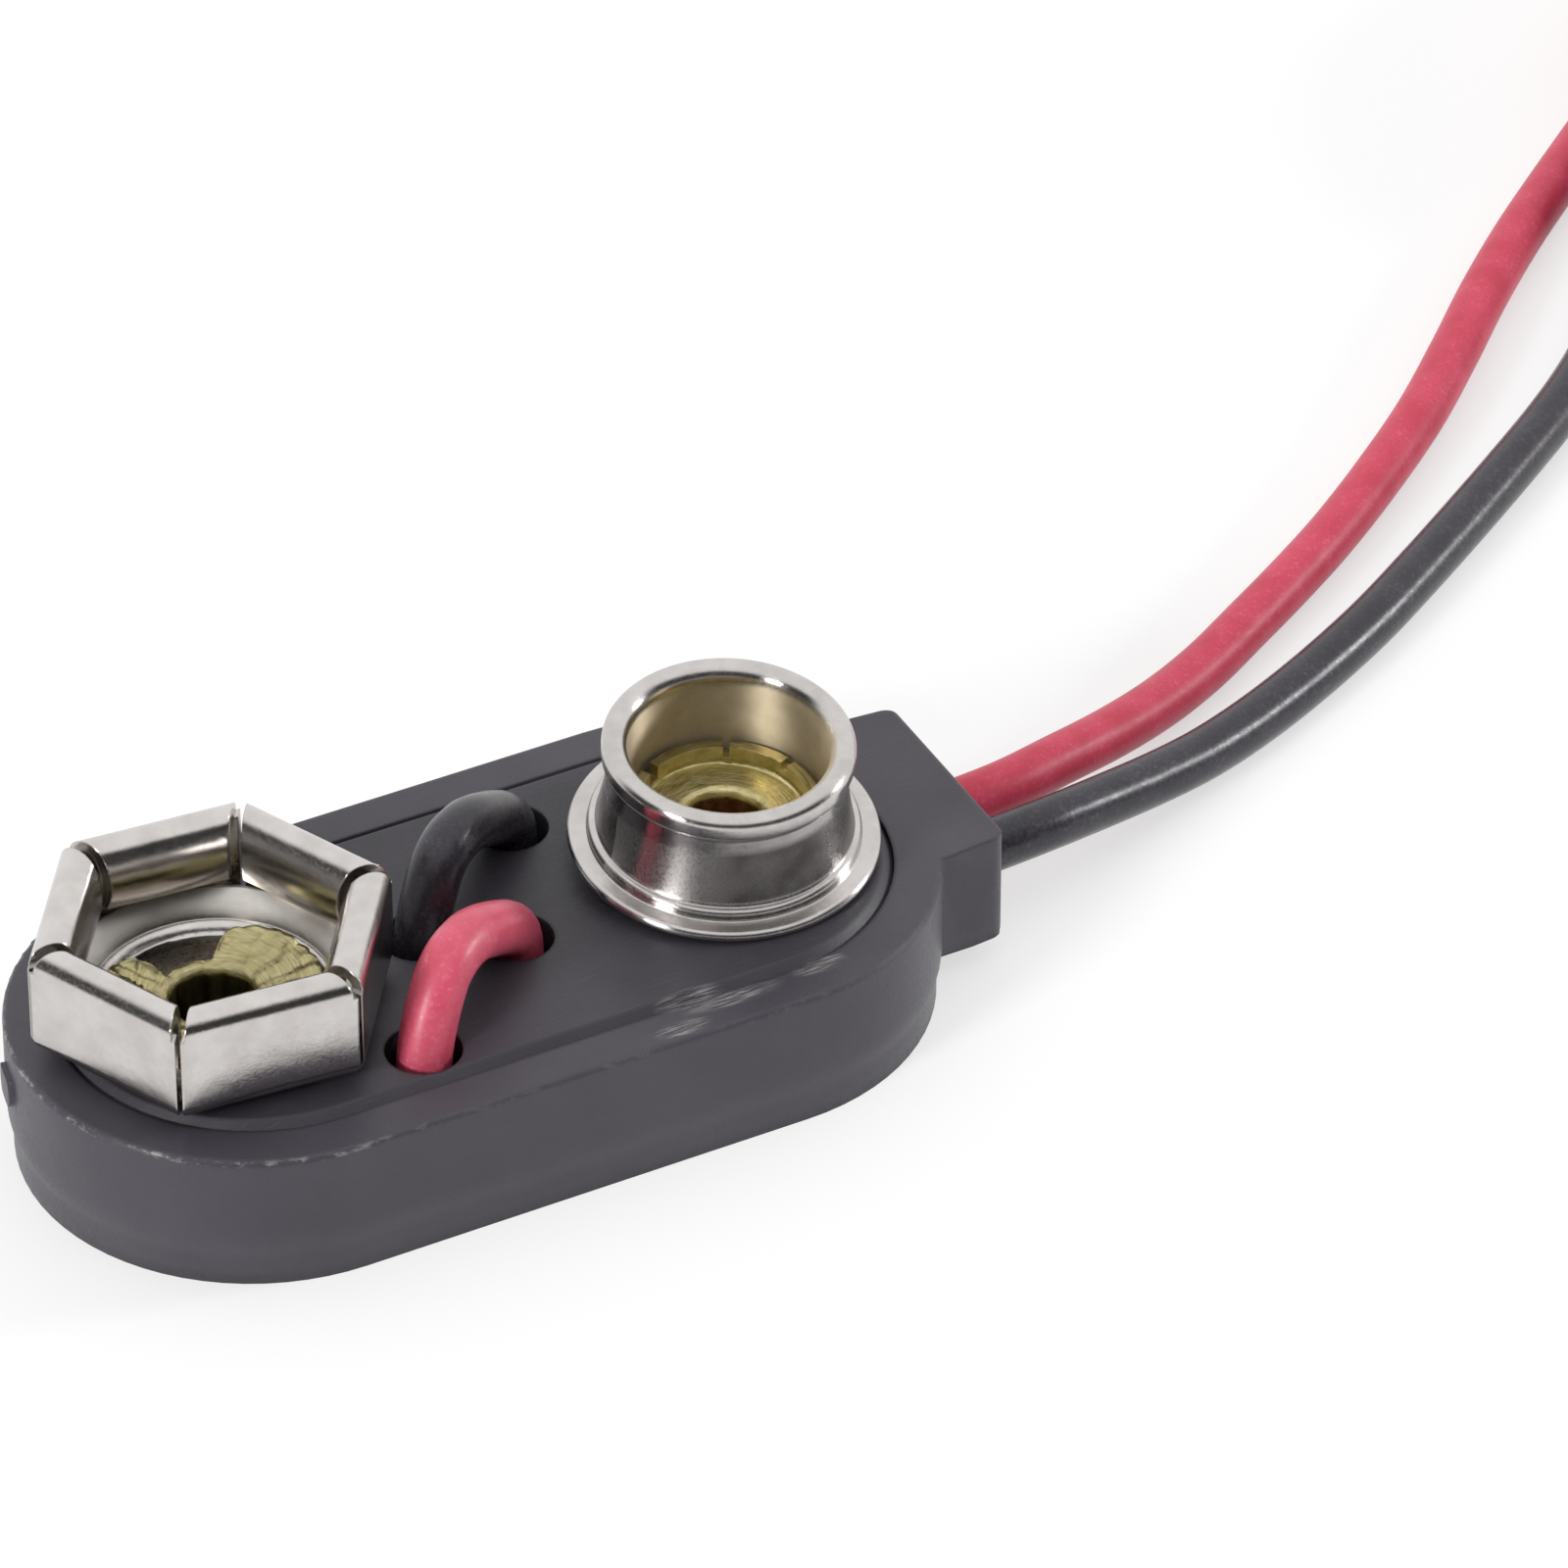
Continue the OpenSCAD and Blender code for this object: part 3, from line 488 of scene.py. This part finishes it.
def tube(name, line, diameter, material):
    curve = bpy.data.curves.new(name, "CURVE")
    curve.dimensions = "3D"
    curve.bevel_depth = diameter / 2 * MM
    curve.bevel_resolution = TUBE_STEPS
    curve.use_fill_caps = True
    spline = curve.splines.new("POLY")
    spline.points.add(len(line) - 1)
    for point, place in zip(spline.points, line):
        point.co = (*(place * MM), 1)
    curve.materials.append(material)
    piece = bpy.data.objects.new(name, curve)
    scene.collection.objects.link(piece)
    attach(piece, "root")
    return piece


# Leads: from the exits to the coil, and wound into it

LEAD_LENGTH = 150.0
LEAD_STEPS = 6
TIP_LENGTH = 5.0
RED_EXIT = 1.2
BLACK_EXIT = -0.5
EXIT_Z = 1.7
LEAD_IN = 0.8
COIL_AT = Vector((50, 17.5, 0))
ENTRY_TURN = math.radians(38)
COIL_RUN = 1.5
COIL_STEP = math.radians(5)
INNER_LANE = 5 * LEAD_D
OUTER_LANE = INNER_LANE + LEAD_D
# The leads' way over the floor: places along and across, and height of the lead's underside
RED_LAY = [
    (13.7, 1.4, 1), (15.3, 1.9, 0.82), (17.2, 2.65, 0.48), (19, 3.5, 0.18), (20.7, 4.4, 0.03),
    (22.4, 5.4, 0), (24.1, 6.4, 0), (26, 7.6, 0), (28.1, 9.1, 0), (30.4, 10.9, 0), (32.5, 12.8, 0),
    (34.4, 14.6, 0), (36.4, 16.35, 0), (38.4, 17.95, 0), (40.4, 19.5, 0), (42.3, 20.98, 0),
]
BLACK_LAY = [
    (13.9, -0.25, 0.95), (15.8, 0.3, 0.62), (17.3, 0.75, 0.38), (18.8, 1.25, 0.18), (20.3, 1.85, 0.05),
    (21.8, 2.5, 0), (23.4, 3.25, 0), (25.2, 4.2, 0), (27.1, 5.35, 0), (29, 6.55, 0), (31, 7.85, 0),
    (33, 9.2, 0), (34.6, 10.4, 0), (36.2, 11.8, 0), (37.8, 13.4, 0), (39.4, 15.2, 0), (41, 17.1, 0),
    (42.9, 19.3, 0),
]
CLIMB_FROM = math.radians(160)
CLIMB_TO = math.radians(65)


def free_route(exit_y, lay, lane):
    way = Vector((math.cos(ENTRY_TURN), math.sin(ENTRY_TURN), 0))
    side = Vector((-way.y, way.x, 0))
    end = COIL_AT + lane * side + Vector((0, 0, LEAD_D / 2))
    return (
        [Vector((BODY_L / 2 + k / 2 * LEAD_IN, exit_y, EXIT_Z)) for k in range(3)]
        + [Vector((x, y, z + LEAD_D / 2)) for x, y, z in lay]
        + [end - k / 2 * COIL_RUN * way for k in (2, 1, 0)]
    )


def coil_turns(lane, length):
    """Clockwise turns of one lane; each turn climbs onto the one before it near its end."""
    points = []
    total = length / lane
    count = int(total / COIL_STEP)
    for i in range(1, count + 1):
        angle = total * i / count
        turn, within = divmod(angle, 2 * math.pi)
        left = 2 * math.pi - within
        climb = min(max((CLIMB_FROM - left) / (CLIMB_FROM - CLIMB_TO), 0), 1)
        climb = climb * climb * (3 - 2 * climb)
        place = math.pi / 2 + ENTRY_TURN - angle
        points.append(COIL_AT + Vector((
            lane * math.cos(place), lane * math.sin(place), LEAD_D * (0.5 + turn + climb),
        )))
    return points


def make_leads():
    for name, exit_y, lay, lane, material in (
        ("red", RED_EXIT, RED_LAY, OUTER_LANE, RED),
        ("black", BLACK_EXIT, BLACK_LAY, INNER_LANE, BLACK),
    ):
        line = smooth_line(free_route(exit_y, lay, lane), LEAD_STEPS)
        line += coil_turns(lane, LEAD_LENGTH - TIP_LENGTH - line_length(line))
        lead = tube(name + "_lead_cord", line, LEAD_D, material)
        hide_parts(name + "_lead", "lead_coil")


# Hoops: the held part of each lead, from its exit over the plate to its joint

HOOP_REACH = Vector((3.6, 2.65))
HOOP_H = 1.6
HOOP_STEPS = 8
# Shares of the reach and of the height along a hoop, from its right hole
HOOP_RISE = [
    (0.02, 0.08), (0.1, 0.36), (0.26, 0.65), (0.46, 0.93),
    (0.64, 1), (0.78, 0.87), (0.89, 0.52), (0.975, 0.06),
]
RED_RIGHT = Vector((MID_X + 0.75, -0.7))
RED_LEFT = RED_RIGHT - HOOP_REACH
BLACK_LEFT = Vector((MID_X - 1.15, 0.3))
BLACK_RIGHT = BLACK_LEFT + HOOP_REACH
RUN_GAP = 0.05
TAIL_GAP = 0.03
RUN_Z = FLOOR_T + LEAD_D / 2 + RUN_GAP
TAIL_Z = PLATE_LOW - LEAD_D / 2 - TAIL_GAP
TAIL_L = 1.3
CAVITY_R = BODY_R - RIM_W - LEDGE_W


def hoop_start(exit_y):
    inside = BLOCK_X + CAVITY_R
    return [Vector((x, exit_y, EXIT_Z))
            for x in (BODY_L / 2, (BODY_L / 2 + inside) / 2, inside + 0.1, inside - 0.5)]


def hoop_riser(hole, way):
    """The lead's way from its run on the floor up into a hole of the plate."""
    return [
        (hole + 0.85 * way).to_3d() + Vector((0, 0, RUN_Z + 0.08)),
        (hole + 0.32 * way).to_3d() + Vector((0, 0, RUN_Z + 0.42)),
        (hole + 0.04 * way).to_3d() + Vector((0, 0, PLATE_LOW - 0.1)),
        hole.to_3d() + Vector((0, 0, PLATE_LOW + 0.5 * PLATE_T)),
    ]


def hoop_arch(right):
    return [(right - share * HOOP_REACH).to_3d() + Vector((0, 0, PLATE_TOP + rise * HOOP_H))
            for share, rise in HOOP_RISE]


def hoop_tail(hole, joint):
    """The lead's end under the plate, straight towards its solder joint."""
    way = (hole - joint).normalized()
    drops = [(0, PLATE_LOW + 0.5 * PLATE_T), (0.03, PLATE_LOW), (0.35, TAIL_Z + 0.12)]
    drops += [(TAIL_L - k, TAIL_Z) for k in (0.4, 0.2, 0)]
    return [(hole - k * way).to_3d() + Vector((0, 0, z)) for k, z in drops]


def make_hoops():
    red_in = RED_RIGHT + Vector((0.85, 0.12))
    red_run = [
        Vector((STUD_X + 1.4, RED_EXIT - 0.15, RUN_Z + 0.1)), Vector((STUD_X + 0.2, 0.45, RUN_Z)),
        Vector((STUD_X - 1.6, 0.1, RUN_Z)), Vector((red_in.x + 1.6, red_in.y + 0.15, RUN_Z)),
    ]
    black_run = [
        Vector((STUD_X + 1.4, BLACK_EXIT - 0.15, RUN_Z + 0.1)), Vector((STUD_X + 0.2, -1.3, RUN_Z)),
        Vector((STUD_X - 2, -1.75, RUN_Z)), Vector((RED_RIGHT.x + 0.9, RED_RIGHT.y - 1.5, RUN_Z)),
        Vector((RED_RIGHT.x - 0.3, RED_RIGHT.y - 1.6, RUN_Z)),
        Vector((BLACK_LEFT.x + 0.35, BLACK_LEFT.y - 1.55, RUN_Z)),
    ]
    red = (hoop_start(RED_EXIT) + red_run + hoop_riser(RED_RIGHT, Vector((0.99, 0.14)))
           + hoop_arch(RED_RIGHT) + hoop_tail(RED_LEFT, Vector((SOCKET_X, 0))))
    black = (hoop_start(BLACK_EXIT) + black_run + hoop_riser(BLACK_LEFT, Vector((0.1, -0.99)))
             + hoop_arch(BLACK_RIGHT)[::-1] + hoop_tail(BLACK_RIGHT, Vector((STUD_X, 0))))
    for name, points, material in (("red", red, RED_HOOP_LIT), ("black", black, BLACK)):
        hoop = tube(name + "_hoop_tube", smooth_line(points, HOOP_STEPS), LEAD_D, material)
        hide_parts(name + "_hoop")


# Round pieces

LATHE_STEPS = 180


def ring_piece(name, sections, material, node=None):
    """A closed piece over sections in a ring, each a closed line of the same number of points."""
    rows = len(sections[0])
    faces = []
    for i in range(len(sections)):
        j = (i + 1) % len(sections)
        faces += [(i * rows + k, j * rows + k, j * rows + (k + 1) % rows, i * rows + (k + 1) % rows)
                  for k in range(rows)]
    mesh = bpy.data.meshes.new(name)
    mesh.from_pydata([point * MM for section in sections for point in section], [], faces)
    mesh.polygons.foreach_set("use_smooth", [True] * len(faces))
    mesh.materials.append(material)
    piece = bpy.data.objects.new(name, mesh)
    scene.collection.objects.link(piece)
    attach(piece, "root")
    if node:
        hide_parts(node)


def lathe(section, seat, lean=0.0):
    """A section turned about an upright axis, which may lean towards the near side."""
    tilt = Matrix.Rotation(lean, 3, "X")
    turns = [2 * math.pi * i / LATHE_STEPS for i in range(LATHE_STEPS)]
    return [[seat + tilt @ Vector((r * math.cos(turn), r * math.sin(turn), z)) for r, z in section]
            for turn in turns]


def arc(r, z, size, start, end, steps=8):
    turns = [math.radians(start + (end - start) * k / steps) for k in range(steps + 1)]
    return [(r + size * math.cos(turn), z + size * math.sin(turn)) for turn in turns]


# Drawn stud

STUD_LEAN = math.radians(5.5)
STUD_H = 2.95
STUD_BORE_R = 1.22
LIP_R = 2.86
LIP_H = 0.57
LIP_TOP_R = 0.2
LIP_LOW_R = 0.16
MOUTH_R = 2.29
BROW_R = 0.28
WAIST_R = LIP_R - LIP_LOW_R
WAIST_BOW = 0.05
WAIST_STEPS = 16
FOOT_R = 2.93
STEP_R = 3.1
STEP_H = 0.26
STEP_FILLET = 0.05
FLANGE_R = 3.55
WELL_FLARE = 0.06
WELL_R = 0.3
WELL_STEPS = 12


def stud_section():
    edge = SHEET_T / 2
    step_edge = STEP_H / 2
    foot_z = SHEET_T + STEP_H
    lip_z = STUD_H - LIP_H
    well_z = SHEET_T + WELL_R
    section = [(STUD_BORE_R, 0)] + arc(FLANGE_R - edge, edge, edge, -90, 90)
    section += arc(STEP_R + STEP_FILLET, SHEET_T + STEP_FILLET, STEP_FILLET, 270, 180, 4)
    section += arc(STEP_R - step_edge, SHEET_T + step_edge, step_edge, 0, 90)
    for k in range(WAIST_STEPS):
        share = k / WAIST_STEPS
        bow = WAIST_BOW * math.sin(math.pi * share)
        section.append((FOOT_R + (WAIST_R - FOOT_R) * share - bow, foot_z + (lip_z - foot_z) * share))
    section += arc(LIP_R - LIP_LOW_R, lip_z + LIP_LOW_R, LIP_LOW_R, -90, 0)
    section += arc(LIP_R - LIP_TOP_R, STUD_H - LIP_TOP_R, LIP_TOP_R, 0, 90)
    section += arc(MOUTH_R + BROW_R, STUD_H - BROW_R, BROW_R, 90, 180)
    for k in range(1, WELL_STEPS):
        share = k / WELL_STEPS
        section.append((MOUTH_R + WELL_FLARE * share, STUD_H - BROW_R + (well_z - STUD_H + BROW_R) * share))
    section += arc(MOUTH_R + WELL_FLARE - WELL_R, well_z, WELL_R, 0, -90)
    return section + [(STUD_BORE_R, SHEET_T)]


def make_stud():
    seat = Vector((STUD_X, 0, PLATE_TOP + FLANGE_R * math.sin(STUD_LEAN)))
    ring_piece("drawn_stud", lathe(stud_section(), seat, STUD_LEAN), stud_look(), "stud_contact")


# Bowl of the socket: the pressed slope from the dish up to the walls

DISH_H = 0.24
BOWL_IN_R = 2.7
BOWL_OUT_R = 3.42
BOWL_RISE = 0.42
BOWL_SUNK = 0.05
BOWL_CURVE = 1.6
BOWL_STEPS = 16


def make_bowl():
    low = DISH_H + SHEET_T
    section = [(BOWL_IN_R, low - BOWL_SUNK), (BOWL_OUT_R, low - BOWL_SUNK)]
    for k in range(BOWL_STEPS + 1):
        share = 1 - k / BOWL_STEPS
        section.append((BOWL_IN_R + (BOWL_OUT_R - BOWL_IN_R) * share, low + BOWL_RISE * share ** BOWL_CURVE))
    seat = Vector((SOCKET_X, 0, PLATE_TOP))
    satin = metal_look("bowl_nickel", BOWL_NICKEL, 0.32)
    ring_piece("socket_bowl", lathe(section, seat), satin)


# Torn eyelet in the socket

EYELET_R = 1.2
EYELET_T = 0.25
EYELET_STEPS = 360
HEAD_R = 1.5
BORE_R = EYELET_R - EYELET_T
BORE_FLARE = 0.05
BORE_FLARE_H = 0.15
BORE_STEPS = 6
PLAIN_EDGE = 0.05
FLAP_CURVE = 1.3
FLAP_STEPS = 16
FLAP_EDGE_T = 0.07
FLAP_EDGE_OUT = 0.01
FLAP_ROOT_T = 0.1
FLAP_ROOT_OUT = 0.04
# Reach over which a flap comes free of the eyelet
FLAP_FREE = 0.5
HEX_TURN = -5.2
# Corners of the two flaps: angle in degrees, radius, and rise of the edge above the eyelet's rolled top
FLAPS = [
    [(-52, 1.25, 0), (-44, 1.9, 0.2), (-24, 2.4, 0.36), (-10, 2.4, 0.38), (17, 2.34, 0.36),
     (37, 2.27, 0.36), (50, 2.1, 0.35), (61, 1.88, 0.33), (66, 1.5, 0.18), (71, 1.25, 0)],
    [(127, 1.25, 0), (131, 1.55, 0.3), (134, 1.93, 0.42), (141, 2.2, 0.45), (150, 2.3, 0.47),
     (165, 2.3, 0.45), (180, 2.25, 0.45), (194, 2.28, 0.5), (210, 2.3, 0.5), (226, 2.1, 0.45),
     (240, 1.95, 0.4), (252, 1.5, 0.15), (258, 1.25, 0)],
]
# Depth of the tears in a flap's edge, and their width in degrees
TEAR = 0.07
TEAR_WIDTH = 7
# Creases: the second flap is crumpled more, between these angles
CRUMPLED = 120, 255
CRUMPLE = 0.09
CRUMPLE_LESS = 0.03
RIDGE_PITCH = 0.15
RIDGE_H = 0.012
WAVES = 16
WAVE_H = 0.04


def flap_edge(angle):
    """Radius and rise of the torn edge in a direction, or the plain ring between the flaps."""
    for corners in FLAPS:
        for (a, r, z), (b, s, w) in zip(corners, corners[1:]):
            share = ((angle - HEX_TURN - a) % 360) / (b - a)
            if share < 1:
                return r + (s - r) * share, z + (w - z) * share
    return EYELET_R + PLAIN_EDGE, 0.0


def eyelet_section(angle):
    """Section of the eyelet in one direction, from the lower head up the bore and out to the torn edge."""
    floor = PLATE_TOP + SHEET_T
    top = floor + EYELET_T
    low = PLATE_LOW
    edge_r, edge_rise = flap_edge(angle)
    if edge_r > HEAD_R:
        edge_r += TEAR * noise.noise(Vector((angle / TEAR_WIDTH, 0, 0)))
    section = [
        (HEAD_R, low - EYELET_T / 2), (EYELET_R, low - EYELET_T),
        (BORE_R + BORE_FLARE, low - BORE_FLARE_H), (BORE_R, low),
    ]
    section += [(BORE_R, low + (floor - low) * k / BORE_STEPS) for k in range(1, BORE_STEPS + 1)]
    section += arc(EYELET_R, floor, EYELET_T, 180, 90, BORE_STEPS)[1:]
    for k in range(1, FLAP_STEPS + 1):
        share = k / FLAP_STEPS
        section.append((EYELET_R + (edge_r - EYELET_R) * share, top + edge_rise * share ** FLAP_CURVE))
    section.append((edge_r + FLAP_EDGE_OUT, top + edge_rise - FLAP_EDGE_T))
    section.append((EYELET_R + FLAP_ROOT_OUT, top - FLAP_ROOT_T))
    return section


def crease(place, radius, spread, crumple):
    """How far a place on the eyelet's flare is bent up or down."""
    free = min(max((radius - EYELET_R) / FLAP_FREE, 0), 1)
    ridge = math.sin(2 * math.pi * radius / RIDGE_PITCH + 3 * noise.noise(place * 1.7))
    bend = noise.noise(place * 3.4) * crumple + (ridge + noise.noise(place * 9)) * RIDGE_H
    return free * bend + WAVE_H * math.sin(WAVES * spread) * noise.noise(place * 2)


def make_torn_eyelet():
    sections = []
    for i in range(EYELET_STEPS):
        spread = 2 * math.pi * i / EYELET_STEPS
        crumple = CRUMPLE if CRUMPLED[0] < math.degrees(spread) < CRUMPLED[1] else CRUMPLE_LESS
        section = []
        for r, z in reversed(eyelet_section(math.degrees(spread))):
            place = Vector((r * math.cos(spread), r * math.sin(spread), z))
            if z > PLATE_TOP + SHEET_T:
                place.z += crease(place, r, spread, crumple)
            section.append(place + Vector((SOCKET_X, 0, 0)))
        sections.append(section)
    finish = brass_look("socket_brass", SOCKET_X, SOCKET_BRASS)
    ring_piece("torn_eyelet", sections, finish, "socket_eyelet")


# Floor and light

FLOOR_HALF = 600
FLOOR_WHITE = (0.99, 0.99, 0.99, 1)
FLOOR_GLOW = 1.0
# Share of plain white that the camera sees in the floor, so that its shadows are soft
FLOOR_LIFT = 0.6


def make_floor():
    """A white floor, which metal mirrors as plain white."""
    mesh = bpy.data.meshes.new("floor")
    half = FLOOR_HALF * MM
    corners = [(-half, -half, 0), (half, -half, 0), (half, half, 0), (-half, half, 0)]
    mesh.from_pydata(corners, [], [(0, 1, 2, 3)])
    floor = bpy.data.objects.new("floor", mesh)
    scene.collection.objects.link(floor)
    look = Look("floor_paper", Base_Color=FLOOR_WHITE, Roughness=0.9, Specular_IOR_Level=0.1)
    path = look.node("LightPath").outputs
    mirrored = look.math("MAXIMUM", path["Is Glossy Ray"], path["Is Transmission Ray"])
    lifted = look.math("MAXIMUM", mirrored, look.product(path["Is Camera Ray"], FLOOR_LIFT))
    white = look.node("Emission", Color=(1, 1, 1, 1), Strength=FLOOR_GLOW)
    both = look.node("MixShader", Fac=lifted)
    look.link(look.shader.outputs["BSDF"], both.inputs[1])
    look.link(white.outputs["Emission"], both.inputs[2])
    look.link(both.outputs["Shader"], look.tree.nodes["Material Output"].inputs["Surface"])
    mesh.materials.append(look.material)


def softbox(name, place, size, power):
    data = bpy.data.lights.new(name, "AREA")
    data.shape = "RECTANGLE"
    data.size, data.size_y = (s * MM for s in size)
    data.energy = power
    lamp = bpy.data.objects.new(name, data)
    scene.collection.objects.link(lamp)
    lamp.location = Vector(place) * MM
    lamp.rotation_mode = "QUATERNION"
    lamp.rotation_quaternion = (-Vector(place)).to_track_quat("-Z", "Y")


# Brightness of the room, and where it turns bright: upwards, and away from the camera
ROOM_DARK = 0.05
ROOM_BRIGHT = 1.05
ROOM_ABOVE = 0.62, 0.84
ROOM_BEHIND = -0.15, 0.3
# Softboxes: name, place and size in millimetres, power in watts
SOFTBOXES = [
    ("left_box", (-338, -126, 155), (80, 80), 0.95),
    ("right_box", (316, -82, 110), (50, 50), 0.4),
]


def make_room():
    """A studio that is white overhead and behind the object, and dark low down on the near side."""
    world = bpy.data.worlds.new("studio")
    world.use_nodes = True
    scene.world = world
    tree = world.node_tree
    way = tree.nodes.new("ShaderNodeTexCoord").outputs["Generated"]
    far = (math.sin(VIEW_AZIMUTH), math.cos(VIEW_AZIMUTH), 0)
    shares = []
    for axis, (low, high) in (((0, 0, 1), ROOM_ABOVE), (far, ROOM_BEHIND)):
        dot = tree.nodes.new("ShaderNodeVectorMath")
        dot.operation = "DOT_PRODUCT"
        tree.links.new(way, dot.inputs[0])
        dot.inputs[1].default_value = axis
        ramp = tree.nodes.new("ShaderNodeMapRange")
        ramp.interpolation_type = "SMOOTHSTEP"
        ramp.inputs["From Min"].default_value = low
        ramp.inputs["From Max"].default_value = high
        tree.links.new(dot.outputs["Value"], ramp.inputs["Value"])
        shares.append(ramp.outputs["Result"])
    most = tree.nodes.new("ShaderNodeMath")
    most.operation = "MAXIMUM"
    for share, socket in zip(shares, most.inputs):
        tree.links.new(share, socket)
    level = tree.nodes.new("ShaderNodeMapRange")
    level.inputs["To Min"].default_value = ROOM_DARK
    level.inputs["To Max"].default_value = ROOM_BRIGHT
    tree.links.new(most.outputs["Value"], level.inputs["Value"])
    backdrop = tree.nodes["Background"]
    backdrop.inputs["Color"].default_value = (1, 1, 1, 1)
    tree.links.new(level.outputs["Result"], backdrop.inputs["Strength"])


def make_light():
    make_room()
    for box in SOFTBOXES:
        softbox(*box)


make_camera()
dress_nodes()
make_leads()
make_hoops()
make_stud()
make_bowl()
make_torn_eyelet()
make_floor()
make_light()
